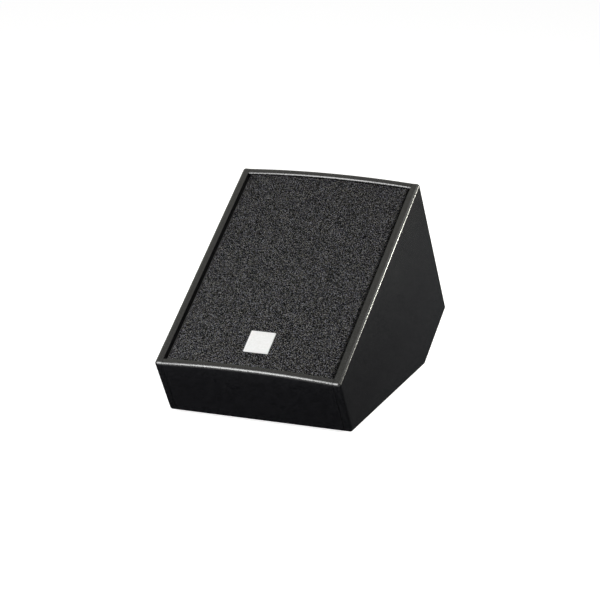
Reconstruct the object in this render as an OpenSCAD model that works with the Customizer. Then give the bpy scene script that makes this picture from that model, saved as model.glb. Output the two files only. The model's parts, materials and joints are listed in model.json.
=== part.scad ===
// Passive two-way stage monitor wedge: a painted wooden cabinet with a bowed,
// foam-faced grille, a twelve-inch woofer and a small horn, standing on rubber feet.
// Cabinet pieces are drawn in the cabinet's own frame: x across, y up the sloping
// front from the front panel's outer face, z outwards from the sloping front.

/* [Cabinet] */
// Width over both side panels
cab_w = 380; // [376:1:420]
// Length of the sloping front, from the front panel to the upper rear panel
cab_len = 540; // [530:1:580]
// Depth of the front panel, square to the sloping front
front_depth = 136.5; // [125:0.5:150]
// Depth of the upper rear panel, square to the sloping front
rear_depth = 367; // [350:1:390]
// Length of the lower rear panel
rear_len = 162; // [150:1:175]
// Thickness of the wooden panels
panel_t = 16; // [14:0.5:18]
// Radius of the rounded outer edges
edge_r = 6; // [4:0.5:8]
// Radius of the inner edge beside the grille
inner_edge_r = 5; // [1:0.5:6]
// Width of the groove where a side panel meets its neighbours
seam_w = 0.8; // [0.4:0.1:1.5]
// Depth of that groove
seam_v = 2.4; // [1:0.1:3]
// Rise of the bowed panel edges between the side panels
bow_rise = 8; // [6:0.5:10]

/* [Baffle] */
// Depth of the baffle board behind the edges of the side panels
baffle_drop = 36; // [34:1:44]
// Thickness of the baffle board
baffle_t = 16; // [14:1:18]
// Side of the square battens behind the baffle board
batten = 16; // [12:1:18]
// Height of the cross brace
brace_h = 36; // [28:1:44]
// Gap between the cross brace and the compression driver
brace_gap = 40; // [30:1:50]
// Side of the glue blocks in the cabinet's corners
block = 18; // [14:1:22]
// Glue joint clearance between wooden pieces
wood_fit = 0.1; // [0.05:0.05:0.3]

/* [Grille] */
// Thickness of the perforated steel grille
grille_t = 1.5; // [1:0.1:2]
// Clearance between the grille and the cabinet panels
grille_fit = 1; // [0.6:0.1:2]
// Diameter of the perforations
perf_d = 19; // [14:1:21]
// Pitch of the perforations
perf_pitch = 28; // [26:1:34]
// Plain border round the perforations
perf_border = 20; // [16:1:26]
// Thickness of the foam front
foam_t = 8; // [6:0.5:10]
// Depth of the foam below the bowed edges
foam_recess = 2; // [1.5:0.5:4]
// Width of the rails under the long edges of the grille
rail_w = 12; // [10:1:14]
// Width of the badge plate
badge_w = 50; // [40:1:60]
// Length of the badge plate
badge_h = 53; // [40:1:60]
// Thickness of the badge plate
badge_t = 1.5; // [1:0.5:3]
// Distance from the front panel's outer face to the badge plate
badge_from_front = 49; // [40:1:70]
// Sideways offset of the badge plate
badge_shift = 4.5; // [-10:0.5:10]

/* [Woofer] */
// Gap between the woofer's frame and the grille rails
woofer_gap = 6; // [4:0.5:12]
// Gap between the woofer's frame and the front panel
woofer_front_gap = 18; // [12:1:24]
// Width of the flange that lies on the baffle board
flange_w = 14; // [13:0.5:16]
// Number of fixing screws
woofer_bolts = 8; // [4:1:8]
// Thickness of the frame's flange
flange_t = 6; // [5:0.5:8]
// Depth of the frame behind its flange
basket_depth = 78; // [74:1:84]
// Diameter of the frame's base
basket_base_d = 160; // [152:1:164]
// Diameter of the voice coil former, inside
coil_d = 64; // [60:1:66]
// Travel of the cone each way
cone_travel = 6; // [4:0.5:7]
// Diameter of the ferrite magnet
magnet_d = 156; // [140:1:160]
// Thickness of the ferrite magnet
magnet_t = 20; // [16:1:22]
// Thickness of the steel plates on the magnet
plate_t = 8; // [6:0.5:9]

/* [Horn] */
// Height of the horn's flange
horn_h = 144; // [136:1:150]
// Gap between the woofer's frame and the horn's flange
horn_gap = 12; // [8:1:16]
// Gap between the horn's flange and the upper rear panel
horn_top_gap = 22; // [16:1:28]
// Gap between the flanges of the horn and the ports, and between the ports and the rails
port_gap = 3.5; // [2:0.5:6]
// Depth of the horn behind its flange
horn_depth = 96; // [90:1:104]
// Diameter of the horn's throat
throat_d = 25.4; // [24:0.1:27]
// Wall of the horn
horn_wall = 3; // [2.5:0.5:4]
// Diameter of the compression driver
driver_d = 90; // [84:1:94]
// Diameter of the compression driver's coil
hf_coil_d = 44; // [42:1:46]
// Travel of the compression driver's diaphragm each way
hf_travel = 0.4; // [0.3:0.05:0.5]

/* [Ports] */
// Inner diameter of the reflex ports
port_d = 50; // [44:1:52]
// Length of the reflex ports behind the baffle board
port_len = 90; // [80:1:100]
// Wall of the reflex ports
port_wall = 2; // [1.5:0.5:3]
// Width of the ports' flanges outside their bores
port_lip = 6; // [5:0.5:8]

/* [Rear fittings] */
// Width of the handle's flange
handle_w = 190; // [180:1:200]
// Height of the handle's flange
handle_h = 100; // [96:1:106]
// Depth of the handle's pocket
handle_depth = 46; // [42:1:48]
// Diameter of the handle's grip
grip_d = 20; // [18:0.5:22]
// Width of the connection cup's flange
cup_w = 170; // [160:1:180]
// Height of the connection cup's flange
cup_h = 90; // [84:1:94]
// Depth of the connection cup
cup_depth = 38; // [34:1:40]
// Distance between the two sockets
socket_pitch = 68; // [60:1:74]
// Thickness of the flanges of the rear fittings
fitting_t = 3; // [2.5:0.5:4]
// Wall of the rear fittings
fitting_wall = 2.5; // [2:0.5:3]
// Width of the flanges outside the panel's cut-outs
fitting_lip = 10; // [9:0.5:11]

/* [Feet] */
// Height of the rubber feet
foot_h = 8; // [7:0.5:12]
// Diameter of the rubber feet
foot_d = 38; // [30:1:44]
// Distance from the feet's centres to the edges of the bottom panel
foot_inset = 45; // [35:1:55]

/* [Hidden] */
$fn = 64;
BIG_FN = 256;     // big shallow arcs
HULL_FN = 32;     // rounded corners of the side panels
ARC_STEPS = 6;    // steps in a rounded profile corner
REACH = 60;       // how far a cutting shape runs past what it cuts
EPS = 0.01;

// Colours
PAINT = [0.075, 0.075, 0.08];
WOOD = [0.55, 0.43, 0.30];
STEEL = [0.55, 0.56, 0.58];
BLACK_STEEL = [0.06, 0.06, 0.065];
FOAM = [0.16, 0.16, 0.165];
PLASTIC = [0.05, 0.05, 0.055];
RUBBER = [0.04, 0.04, 0.04];
FERRITE = [0.12, 0.12, 0.125];
PAPER = [0.09, 0.09, 0.095];
COPPER = [0.72, 0.42, 0.22];

// Cabinet profile, in the cabinet frame, as [y, z]
P_FRONT = [0, 0];
P_TOP = [cab_len, 0];
P_BACK = [cab_len, -rear_depth];
P_HEEL = [cab_len - rear_len, -rear_depth];
P_TOE = [0, -front_depth];
PROFILE = [P_FRONT, P_TOP, P_BACK, P_HEEL, P_TOE];
tilt = atan2(rear_depth - front_depth, cab_len - rear_len);
half_in = cab_w / 2 - panel_t;

// Bow of the front and upper rear edges, and of the grille
bow_top = bow_rise;
bow_r = (half_in * half_in + bow_rise * bow_rise) / (2 * bow_rise);
bow_cz = bow_top - bow_r;
foam_r = bow_r - foam_recess;
grille_r = foam_r - foam_t;
rest_r = grille_r - grille_t;
function bow_z(r, x) = bow_cz + sqrt(r * r - x * x);

// Place of the cabinet frame: standing on the feet, centred front to back
y_front = edge_r * cos(tilt) - (bow_top - edge_r) * sin(tilt) - edge_r;
y_back = (cab_len - edge_r) * cos(tilt) + (rear_depth - edge_r) * sin(tilt) + edge_r;
shift_y = -(y_front + y_back) / 2;
lift_z = foot_h + front_depth * cos(tilt);

// Plane geometry helpers
function unit(v) = v / norm(v);
function turn_left(v) = [-v[1], v[0]];
function meet(p, d, q, e) = p + d * ((q - p) * turn_left(e)) / (d * turn_left(e));
// Corner p of a clockwise outline moved inwards by d from both of its edges
function inset_corner(a, p, b, d) =
  let (e = unit(p - a), f = unit(b - p))
  meet(p - turn_left(e) * d, e, p - turn_left(f) * d, f);
function inset_profile(d) = [for (i = [0 : 4])
  inset_corner(PROFILE[(i + 4) % 5], PROFILE[i], PROFILE[(i + 1) % 5], d)];
function arc(c, r, from, to, steps) = [for (i = [0 : steps])
  let (a = from + (to - from) * i / steps) c + r * [cos(a), sin(a)]];
function angle_of(v) = atan2(v[1], v[0]);
function rounded_rect(w, h, r) = concat(
  arc([w / 2 - r, h / 2 - r], r, 0, 90, ARC_STEPS),
  arc([r - w / 2, h / 2 - r], r, 90, 180, ARC_STEPS),
  arc([r - w / 2, r - h / 2], r, 180, 270, ARC_STEPS),
  arc([w / 2 - r, r - h / 2], r, 270, 360, ARC_STEPS));

INNER = inset_profile(panel_t);
I_BACK = INNER[2];
I_HEEL = INNER[3];
I_TOE = INNER[4];

// Frames
module cab() { translate([0, shift_y, lift_z]) rotate([tilt, 0, 0]) children(); }
// On the upper rear panel: x across, y down the panel, z outwards, z = 0 on its outer face
module on_rear(z0) { cab() translate([0, cab_len, z0]) rotate([-90, 0, 0]) children(); }
module along_x(w) { translate([-w / 2, 0, 0]) rotate([90, 0, 90]) linear_extrude(w) children(); }
module both_sides() { for (s = [-1, 1]) scale_x(s) children(); }
module scale_x(s) { if (s > 0) children(); else mirror([1, 0, 0]) children(); }
module ring_of(count, r, start = 0) {
  for (i = [0 : count - 1]) rotate([0, 0, start + 360 * i / count]) translate([r, 0, 0]) children();
}
module tube(ro, ri, h) {
  difference() {
    cylinder(r = ro, h = h);
    translate([0, 0, -1]) cylinder(r = ri, h = h + 2);
  }
}
// Pan-head screw with its head's seat at z = 0, pointing down
module pan_screw(d, len, head_d, head_h, drive_r = 0) {
  difference() {
    union() {
      translate([0, 0, -len]) cylinder(d = d, h = len + EPS);
      cylinder(d1 = head_d, d2 = head_d * 0.72, h = head_h);
    }
    if (drive_r > 0) translate([0, 0, head_h * 0.4]) cylinder(r = drive_r, h = head_h, $fn = 6);
  }
}

// Cabinet panels

module side_panel() {
  corners = inset_profile(edge_r);
  inner_x = half_in;
  cab() hull() {
    for (c = corners) {
      translate([cab_w / 2 - edge_r, c[0], c[1]]) sphere(r = edge_r, $fn = HULL_FN);
      translate([inner_x + seam_w, c[0], c[1]]) rotate([0, 90, 0])
        cylinder(r = edge_r, h = panel_t - edge_r - seam_w, $fn = HULL_FN);
      translate([inner_x, c[0], c[1]]) rotate([0, 90, 0])
        cylinder(r = edge_r - seam_v, h = seam_w, $fn = HULL_FN);
    }
  }
}
module side_panel_right() { color(PAINT) side_panel(); }
module side_panel_left() { color(PAINT) mirror([1, 0, 0]) side_panel(); }

// Slab between y0 and y1 whose outer edge follows the bow, with edge radii r0 and r1
module bowed_slab(y0, y1, depth, r0, r1) {
  low = bow_r - depth;
  spread = asin(half_in / low) + 2;
  outline = concat([[low, -y0]],
    arc([bow_r - r0, -y0 - r0], r0, 90, 0, ARC_STEPS),
    arc([bow_r - r1, -y1 + r1], r1, 0, -90, ARC_STEPS),
    [[low, -y1]]);
  translate([0, 0, bow_cz]) rotate([90, 0, 0]) rotate([0, 0, 90 - spread])
    rotate_extrude(angle = 2 * spread, $fn = BIG_FN) polygon(outline);
}
// Region of the profile on one side of a mitre from outer corner p to inner corner q
module mitre_side(p, q, top) {
  e = unit(q - p) * REACH;
  polygon([p - e, q + e, [(q + e)[0], top], [(p - e)[0], top]]);
}
// What a rounded outer edge takes off the corner p of the profile
module corner_bit(a, p, b) {
  d = unit(a - p);
  f = unit(b - p);
  half = acos(d * f) / 2;
  c = p + unit(d + f) * edge_r / sin(half);
  t1 = p + d * edge_r / tan(half);
  t2 = p + f * edge_r / tan(half);
  a1 = angle_of(t1 - c);
  a2 = a1 + (angle_of(t2 - c) - a1 + 540) % 360 - 180;
  polygon(concat([t1 * 2 - c, p * 2 - c, t2 * 2 - c], arc(c, edge_r, a2, a1, ARC_STEPS)));
}
module rounded_edges(corners) {
  difference() {
    children();
    for (i = corners) along_x(cab_w) corner_bit(PROFILE[(i + 4) % 5], PROFILE[i], PROFILE[(i + 1) % 5]);
  }
}

module front_panel() {
  color(PAINT) cab() rounded_edges([4]) intersection() {
    bowed_slab(0, panel_t, front_depth + bow_top + REACH, edge_r, inner_edge_r);
    along_x(2 * half_in) mitre_side(P_TOE, I_TOE, bow_top + REACH);
  }
}
module upper_rear_panel() {
  color(PAINT) difference() {
    cab() rounded_edges([2]) intersection() {
      bowed_slab(cab_len - panel_t, cab_len, rear_depth + bow_top + REACH, inner_edge_r, edge_r);
      along_x(2 * half_in) mitre_side(P_BACK, I_BACK, bow_top + REACH);
    }
    on_rear(handle_z) translate([0, 0, -2 * panel_t]) linear_extrude(3 * panel_t)
      polygon(rounded_rect(handle_hole_w, handle_hole_h, hole_corner));
    on_rear(cup_z) translate([0, 0, -2 * panel_t]) linear_extrude(3 * panel_t)
      polygon(rounded_rect(cup_hole_w, cup_hole_h, hole_corner));
    on_rear(handle_z) at_handle_screws() translate([0, 0, -13]) cylinder(d = pilot_d, h = 20);
    on_rear(cup_z) at_cup_screws() translate([0, 0, -13]) cylinder(d = pilot_d, h = 20);
  }
}
module lower_rear_panel() {
  color(PAINT) difference() {
    cab() rounded_edges([2, 3]) along_x(2 * half_in) polygon([P_BACK, I_BACK, I_HEEL, P_HEEL]);
    at_crossover() at_board_screws() translate([0, 0, -11]) cylinder(d = pilot_d, h = 20);
  }
}
module bottom_panel() {
  color(PAINT) difference() {
    cab() rounded_edges([3, 4]) along_x(2 * half_in) polygon([P_HEEL, I_HEEL, I_TOE, P_TOE]);
    at_feet() translate([0, 0, foot_h - 1]) cylinder(d = pilot_d, h = foot_screw_len - foot_web + 2);
  }
}

// Baffle, battens, brace and glue blocks

baffle_z = -baffle_drop;
baffle_back = baffle_z - baffle_t;
baffle_y0 = panel_t + wood_fit;
baffle_y1 = cab_len - panel_t - wood_fit;
woofer_room_x = 2 * (half_in - rail_w - woofer_gap);
woofer_room_y = cab_len - 2 * panel_t - woofer_front_gap - horn_gap - horn_h - horn_top_gap;
woofer_d = min(woofer_room_x, woofer_room_y);
woofer_hole_d = woofer_d - 2 * flange_w;
woofer_bolt_d = woofer_d - flange_w;
woofer_y = panel_t + woofer_front_gap + woofer_d / 2;
port_flange_d = port_d + 2 * port_lip;
port_x = half_in - rail_w - port_gap - port_flange_d / 2;
horn_w = 2 * (port_x - port_flange_d / 2 - port_gap);
horn_y = cab_len - panel_t - horn_top_gap - horn_h / 2;
port_y = horn_y;
horn_screw_x = horn_w / 2 - 7.5;
horn_screw_y = horn_h / 2 - 7.5;
horn_hole_w = horn_w - 30;
horn_hole_h = horn_h - 30;
tee_nut_d = 8;
horn_pilot_d = 3.7;
bolt_start = 180 / woofer_bolts;

module baffle_board() {
  color(PAINT) cab() difference() {
    translate([-half_in + wood_fit, baffle_y0, baffle_back])
      cube([2 * (half_in - wood_fit), baffle_y1 - baffle_y0, baffle_t]);
    translate([0, woofer_y, baffle_back - 1]) cylinder(d = woofer_hole_d, h = baffle_t + 2, $fn = 96);
    translate([0, woofer_y, baffle_back - 1]) ring_of(woofer_bolts, woofer_bolt_d / 2, bolt_start)
      cylinder(d = tee_nut_d, h = baffle_t + 2);
    translate([0, horn_y, baffle_back - 1]) linear_extrude(baffle_t + 2)
      polygon(rounded_rect(horn_hole_w, horn_hole_h, 12));
    both_sides() translate([port_x, port_y, baffle_back - 1])
      cylinder(d = port_d + 2 * port_wall + 1, h = baffle_t + 2);
    for (sx = [-1, 1], sy = [-1, 1])
      translate([sx * horn_screw_x, horn_y + sy * horn_screw_y, baffle_back - 1])
        cylinder(d = horn_pilot_d, h = baffle_t + 2);
  }
}
module baffle_battens() {
  long = baffle_y1 - baffle_y0;
  color(WOOD) cab() {
    both_sides() translate([half_in - wood_fit - batten_side, baffle_y0, baffle_back - wood_fit - batten])
      cube([batten_side, long, batten]);
    translate([-batten_end / 2, baffle_y0, baffle_back - wood_fit - batten])
      cube([batten_end, batten, batten]);
    translate([-batten_end / 2, baffle_y1 - batten, baffle_back - wood_fit - batten])
      cube([batten_end, batten, batten]);
  }
}
batten_side = 12;
batten_end = 2 * (half_in - batten_side) - 2;

brace_y = horn_y - driver_d / 2 - brace_gap;
brace_z = (baffle_back - rear_depth + panel_t - brace_h) / 2;
module cross_brace() {
  color(WOOD) cab() translate([-half_in + wood_fit, brace_y - panel_t / 2, brace_z])
    cube([2 * (half_in - wood_fit), panel_t, brace_h]);
}
// Glue block in the inner corner q between the inner faces towards a and b
module glue_block(a, q, b) {
  d = unit(a - q);
  f = unit(b - q);
  g = unit(d + f) * wood_fit * 2;
  along_x(2 * half_in - 40) polygon([q + g, q + g + d * block, q + g + f * block]);
}
module corner_blocks() {
  color(WOOD) cab() {
    glue_block(INNER[1], I_BACK, I_HEEL);
    glue_block(I_BACK, I_HEEL, I_TOE);
    glue_block(I_HEEL, I_TOE, INNER[0]);
  }
}

// Grille

grille_half = half_in - grille_fit;
grille_y0 = panel_t + grille_fit;
grille_y1 = cab_len - panel_t - grille_fit;
rail_x = half_in - wood_fit - rail_w;
grille_screw_x = half_in - rail_w / 2 - 1.5;
grille_screw_count = 4;
grille_screw_pitch = (grille_y1 - grille_y0 - 2 * perf_border) / (grille_screw_count - 1);

module bow_cylinder(r) {
  translate([0, -REACH, bow_cz]) rotate([-90, 0, 0]) cylinder(r = r, h = cab_len + 2 * REACH, $fn = BIG_FN);
}
// Bowed sheet between two radii, inside a box
module bow_sheet(r_out, r_in, half, y0, y1) {
  difference() {
    intersection() {
      translate([-half, y0, -REACH]) cube([2 * half, y1 - y0, 2 * REACH]);
      bow_cylinder(r_out);
    }
    bow_cylinder(r_in);
  }
}
module at_grille_screws() {
  both_sides() for (i = [0 : grille_screw_count - 1])
    translate([grille_screw_x, grille_y0 + perf_border + i * grille_screw_pitch, 0]) children();
}
module perforations() {
  nx = floor((grille_half - perf_border) / perf_pitch);
  rows = floor((grille_y1 - grille_y0 - 2 * perf_border) / (perf_pitch * sin(60)));
  start = (grille_y0 + grille_y1 - rows * perf_pitch * sin(60)) / 2;
  for (j = [0 : rows], i = [-nx : nx])
    let (x = (i + (j % 2) / 2) * perf_pitch)
    if (abs(x) <= grille_half - perf_border)
      translate([x, start + j * perf_pitch * sin(60), -REACH]) cylinder(d = perf_d, h = 2 * REACH, $fn = 24);
}
module grille() {
  color(BLACK_STEEL) cab() difference() {
    bow_sheet(grille_r, rest_r, grille_half, grille_y0, grille_y1);
    perforations();
    at_grille_screws() translate([0, 0, -REACH]) cylinder(d = 4.2, h = 2 * REACH);
  }
}
module grille_rails() {
  rail_bottom = baffle_z + wood_fit;
  color(PAINT) cab() difference() {
    intersection() {
      both_sides() translate([rail_x, grille_y0, rail_bottom])
        cube([rail_w, grille_y1 - grille_y0, REACH]);
      bow_cylinder(rest_r - wood_fit);
    }
    at_grille_screws() translate([0, 0, bow_z(grille_r, grille_screw_x) - 17]) cylinder(d = 3.7, h = REACH);
  }
}
module grille_screws() {
  head_d = 8;
  color(BLACK_STEEL) cab() at_grille_screws()
    translate([0, 0, bow_z(grille_r, grille_screw_x - head_d / 2) + 0.05]) pan_screw(3.5, 14, head_d, 2.2);
}
module grille_foam() {
  color(FOAM) cab() difference() {
    bow_sheet(foam_r, grille_r + wood_fit, grille_half, grille_y0, grille_y1);
    at_grille_screws() translate([0, 0, -REACH])
      cylinder(d = 10, h = REACH + bow_z(grille_r, grille_screw_x) + 3.4);
  }
}
badge_y = badge_from_front + badge_h / 2;
badge_seat = bow_z(foam_r, 0) + wood_fit / 2;
module badge_plate() {
  color("white") cab() translate([badge_shift, badge_y, badge_seat]) linear_extrude(badge_t)
    polygon(rounded_rect(badge_w, badge_h, 1));
}

// Woofer, on the baffle board: z = 0 on the board's front face, z outwards

module at_woofer() { cab() translate([0, woofer_y, baffle_z]) children(); }
wall_top_r = woofer_hole_d / 2 - 3;
base_z = -basket_depth;
wall_in = 4.5;
rim_r = wall_top_r - wall_in;
spider_z = base_z * 0.59;
ledge_r = basket_base_d / 2 + 8;
coil_r = coil_d / 2;
plate_in_r = coil_r + 2.4;
former_r = coil_r + 0.5;
wind_r = former_r + 1.1;
lip_z = flange_t + 0.1;
roll_r = 9;
roll_mid = rim_r - roll_r;
cone_lip_r = roll_mid - roll_r + 1;
neck_z = base_z * 0.46;
function wall_out(z) = wall_top_r + (basket_base_d / 2 - wall_top_r) * z / base_z;
function wall_inner(z) = basket_base_d / 2 - wall_in
  + (rim_r - basket_base_d / 2 + wall_in) * (z - base_z - 4) / (3 - base_z - 4);
function cone_z(r) = neck_z
  + (lip_z - 1.2 - neck_z) * pow((r - former_r - 0.1) / (cone_lip_r - 6 - former_r), 0.85);

module woofer_basket() {
  profile = [
    [woofer_d / 2, 0], [wall_top_r, 0], [basket_base_d / 2, base_z], [plate_in_r + 6, base_z],
    [plate_in_r + 6, base_z + 4], [basket_base_d / 2 - wall_in, base_z + 4],
    [wall_inner(spider_z - 4), spider_z - 4], [ledge_r, spider_z - 4], [ledge_r, spider_z],
    [wall_inner(spider_z), spider_z], [rim_r, 3], [rim_r, flange_t], [woofer_d / 2, flange_t]];
  window_h = -spider_z - 14;
  color(BLACK_STEEL) at_woofer() difference() {
    rotate_extrude($fn = 96) polygon(profile);
    for (i = [0 : 5]) rotate([0, 0, 30 + 60 * i])
      translate([ledge_r, -38, spider_z + 4]) cube([woofer_d / 2 - ledge_r - 12, 76, window_h]);
    translate([0, 0, -1]) ring_of(woofer_bolts, woofer_bolt_d / 2, bolt_start)
      cylinder(d = 5.5, h = flange_t + 2);
  }
}
module woofer_surround() {
  t = 1.2;
  out = rim_r + 8.5;
  profile = concat(
    [[cone_lip_r - 7, lip_z], [roll_mid - roll_r + t, lip_z]],
    arc([roll_mid, lip_z], roll_r - t, 180, 0, 12),
    [[out, lip_z], [out, lip_z + t], [roll_mid + roll_r, lip_z + t]],
    [for (i = [1 : 11]) [roll_mid, lip_z] + roll_r * [cos(180 * i / 12), sin(180 * i / 12)]],
    [[roll_mid - roll_r, lip_z + t], [cone_lip_r - 7, lip_z + t]]);
  color(RUBBER) at_woofer() rotate_extrude($fn = 96) polygon(profile);
}
ring_w = 6.5;
ring_t = 3;
module woofer_gasket() {
  color(PAPER) at_woofer() translate([0, 0, lip_z + 1.3]) tube(rim_r + 1.5 + ring_w, rim_r + 1.5, ring_t);
}
module woofer_cone() {
  t = 1.2;
  steps = 10;
  lip_in = cone_lip_r - 6;
  r0 = former_r + 0.1;
  rs = [for (i = [0 : steps]) r0 + t + (lip_in - r0 - t) * i / steps];
  profile = concat(
    [[r0, neck_z - 5], [r0, cone_z(r0) + t]],
    [for (r = rs) [r, cone_z(r) + t]],
    [[cone_lip_r, lip_z - 0.1], [cone_lip_r, lip_z - 0.1 - t], [lip_in + 1, lip_z - 0.1 - t]],
    [for (i = [steps : -1 : 0]) [rs[i], cone_z(rs[i])]],
    [[r0 + t, neck_z - 5]]);
  color(PAPER) at_woofer() rotate_extrude($fn = 96) polygon(profile);
}
module woofer_dust_cap() {
  rim = coil_r + 12;
  ball = rim * 1.4;
  a0 = acos(rim / ball);
  c = [0, cone_z(rim + 1) + 1.5 - ball * sin(a0)];
  profile = concat(arc(c, ball, a0, 90, 10), arc(c, ball + 0.8, 90, a0, 10));
  color(PAPER) at_woofer() rotate_extrude($fn = 96) polygon(profile);
}
module voice_coil() {
  wind_mid = base_z - plate_t / 2;
  wind = plate_t / 2 + 4;
  profile = [[coil_r, wind_mid - wind - 2], [former_r, wind_mid - wind - 2],
    [former_r, wind_mid - wind], [wind_r, wind_mid - wind], [wind_r, wind_mid + wind],
    [former_r, wind_mid + wind], [former_r, neck_z + 4], [coil_r, neck_z + 4]];
  color(COPPER) at_woofer() rotate_extrude($fn = 96) polygon(profile);
}
module woofer_spider() {
  t = 0.8;
  r0 = former_r + 0.2;
  r1 = ledge_r - 3;
  out = wall_inner(spider_z) - 1;
  waves = 5;
  steps = 8 * waves;
  top = [for (i = [0 : steps]) [r0 + 5 + (r1 - r0 - 5) * i / steps,
    spider_z + 0.1 + 2.2 * sin(360 * waves * i / steps)]];
  profile = concat([[r0, spider_z + 0.1]], top, [[out, spider_z + 0.1], [out, spider_z + 0.1 + t]],
    [for (i = [steps : -1 : 0]) top[i] + [0, t]], [[r0, spider_z + 0.1 + t]]);
  color([0.62, 0.48, 0.22]) at_woofer() rotate_extrude($fn = 96) polygon(profile);
}
module woofer_top_plate() {
  color(STEEL) at_woofer() translate([0, 0, base_z - plate_t]) tube(magnet_d / 2 - 4, plate_in_r, plate_t);
}
module woofer_magnet() {
  color(FERRITE) at_woofer() translate([0, 0, base_z - plate_t - magnet_t])
    tube(magnet_d / 2, plate_in_r + 10, magnet_t);
}
module woofer_yoke() {
  z0 = base_z - 2 * plate_t - magnet_t;
  color(STEEL) at_woofer() difference() {
    union() {
      translate([0, 0, z0]) cylinder(d = magnet_d - 8, h = plate_t, $fn = 96);
      translate([0, 0, z0]) cylinder(r = coil_r - 0.8, h = base_z - z0);
    }
    translate([0, 0, z0 - 1]) cylinder(r = 10, h = base_z - z0 + 2);
  }
}
// Tag strip on one of the frame's ribs
tag_z = spider_z - 6;
module woofer_terminals() {
  color(PLASTIC) at_woofer() difference() {
    union() {
      translate([wall_out(tag_z) - 6, -12, tag_z - 12]) cube([14, 24, 10]);
      for (s = [-1, 1]) translate([wall_out(tag_z) + 6, s * 7 - 3, tag_z - 8]) cube([10, 6, 0.8]);
    }
    translate([0, 0, base_z - 20]) cylinder(r1 = wall_out(base_z - 20) + 0.05, r2 = wall_out(10) + 0.05,
      h = 30 - base_z, $fn = 96);
  }
}
module woofer_screws() {
  color(BLACK_STEEL) at_woofer() translate([0, 0, flange_t])
    ring_of(woofer_bolts, woofer_bolt_d / 2, bolt_start) pan_screw(5, flange_t + baffle_t + 6, 9, 3.2, 2);
}
module woofer_tee_nuts() {
  color(STEEL) at_woofer() ring_of(woofer_bolts, woofer_bolt_d / 2, bolt_start) difference() {
    union() {
      translate([0, 0, -baffle_t - 1.5]) cylinder(d = 17, h = 1.5);
      translate([0, 0, -baffle_t - EPS]) cylinder(d = tee_nut_d - 0.2, h = 10);
    }
    translate([0, 0, -baffle_t - 3]) cylinder(d = 5.1, h = 20);
  }
}

// Horn and compression driver, on the baffle board like the woofer

module at_horn() { cab() translate([0, horn_y, baffle_z]) children(); }
module at_driver() { at_horn() translate([0, 0, -horn_depth - neck_t]) children(); }
horn_t = 4;
neck_t = 6;
HORN_N = 32;
HORN_STEPS = 9;
mouth_x = horn_w / 2 - 20;
mouth_y = horn_h / 2 - 20;
function spow(v, e) = sign(v) * pow(abs(v), e);
// Ring of the horn's flare, f = 0 at the throat and 1 at the mouth, grown by g
function flare_ring(f, g, z) = let (
    hx = throat_d / 2 + (mouth_x - throat_d / 2) * pow(f, 1.5) + g,
    hy = throat_d / 2 + (mouth_y - throat_d / 2) * pow(f, 1.7) + g,
    e = 2 / (2 + 3 * f))
  [for (i = [0 : HORN_N - 1]) let (a = 360 * i / HORN_N) [hx * spow(cos(a), e), hy * spow(sin(a), e), z]];
module loft(rings) {
  n = len(rings[0]);
  m = len(rings);
  polyhedron(
    points = [for (r = rings) each r],
    faces = concat(
      [[for (i = [0 : n - 1]) i]],
      [for (j = [0 : m - 2], i = [0 : n - 1]) each [
        [j * n + i, (j + 1) * n + i, (j + 1) * n + (i + 1) % n],
        [j * n + i, (j + 1) * n + (i + 1) % n, j * n + (i + 1) % n]]],
      [[for (i = [n - 1 : -1 : 0]) (m - 1) * n + i]]));
}
module flare(g, low, high) {
  span = horn_depth + horn_t;
  loft(concat([flare_ring(0, g, -horn_depth - low)],
    [for (k = [0 : HORN_STEPS]) flare_ring(k / HORN_STEPS, g, -horn_depth + span * k / HORN_STEPS
      - (k == HORN_STEPS ? high : 0))]));
}
module horn() {
  color(PLASTIC) at_horn() difference() {
    union() {
      linear_extrude(horn_t) polygon(rounded_rect(horn_w, horn_h, 10));
      flare(horn_wall, neck_t - 1, 1);
      translate([0, 0, -horn_depth - neck_t]) cylinder(d = driver_d, h = neck_t);
    }
    flare(0, neck_t + 2, -0.5);
    for (sx = [-1, 1], sy = [-1, 1]) translate([sx * horn_screw_x, sy * horn_screw_y, -1])
      cylinder(d = 4.5, h = horn_t + 2);
    translate([0, 0, -horn_depth - neck_t - 1]) ring_of(4, hf_bolt_r, 45) cylinder(d = 5.4, h = neck_t + 2);
  }
}
module horn_screws() {
  color(BLACK_STEEL) at_horn() for (sx = [-1, 1], sy = [-1, 1])
    translate([sx * horn_screw_x, sy * horn_screw_y, horn_t]) pan_screw(3.5, 18, 8, 2.4, 1.6);
}
hf_r = hf_coil_d / 2;
hf_plate = 7;
hf_mag = 15;
hf_bolt_r = driver_d / 2 - 10;
hf_rear = -2 * hf_plate - hf_mag;
hf_hub = hf_r + 0.9;
module hf_bolts() {
  color(STEEL) at_driver() translate([0, 0, neck_t])
    ring_of(4, hf_bolt_r, 45) pan_screw(5, neck_t + 5, 9, 3.5, 2);
}
module hf_yoke() {
  color(STEEL) at_driver() difference() {
    union() {
      translate([0, 0, -hf_plate]) cylinder(d = driver_d - 4, h = hf_plate);
      translate([0, 0, hf_rear]) cylinder(r = hf_r - 0.6, h = -hf_rear);
    }
    translate([0, 0, hf_rear - 1]) cylinder(r1 = throat_d / 2 - 4, r2 = throat_d / 2, h = 1 - hf_rear + EPS);
    translate([0, 0, -6]) ring_of(4, hf_bolt_r, 45) cylinder(d = 5.1, h = 7);
  }
}
module hf_magnet() {
  color(FERRITE) at_driver() translate([0, 0, -hf_plate - hf_mag]) tube(driver_d / 2, hf_r + 7, hf_mag);
}
module hf_top_plate() {
  color(STEEL) at_driver() translate([0, 0, hf_rear]) tube(driver_d / 2 - 2, hf_hub + 0.4, hf_plate);
}
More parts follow.
